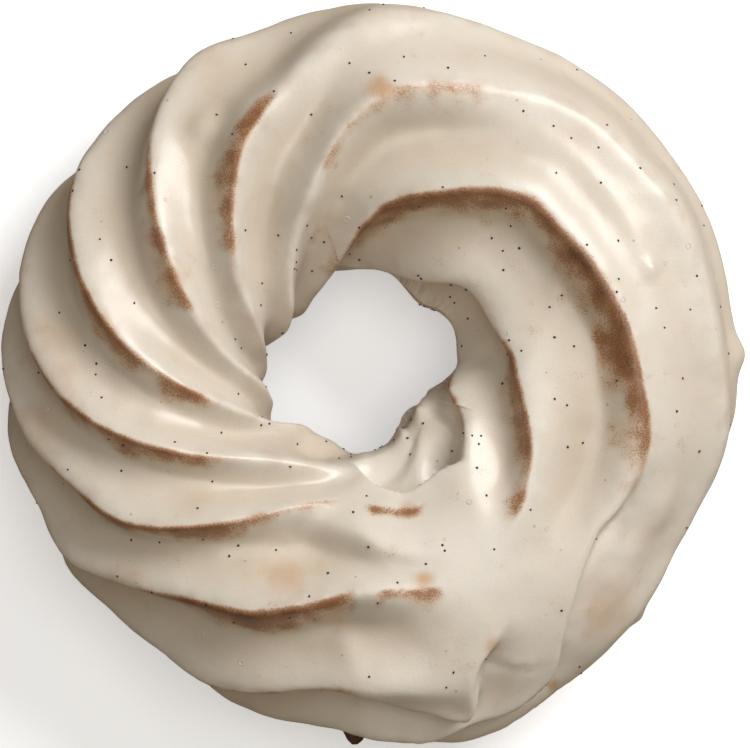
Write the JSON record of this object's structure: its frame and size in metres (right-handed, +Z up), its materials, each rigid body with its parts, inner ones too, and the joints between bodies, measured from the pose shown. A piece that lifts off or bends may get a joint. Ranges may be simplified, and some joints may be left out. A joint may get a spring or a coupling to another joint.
{
  "type": "ring doughnut",
  "caption": "Ring doughnut of twisted, ridged choux dough, fried and coated over its top in a thin pale vanilla glaze; rests flat on its bare underside.",
  "frame": {"origin": "on the table, under the middle of the ring's outline", "axes": "+Z up through the hole, out of the glazed side; the strand's join lies towards -Y, a little to +X"},
  "size_m": [0.0984, 0.0972, 0.0323],
  "materials": {
    "fried_dough": "matte",
    "sugar_glaze": "satin"
  },
  "bodies": {
    "root": {"dough_ring": "fried_dough", "glaze": "sugar_glaze"}
  },
  "joints": []
}
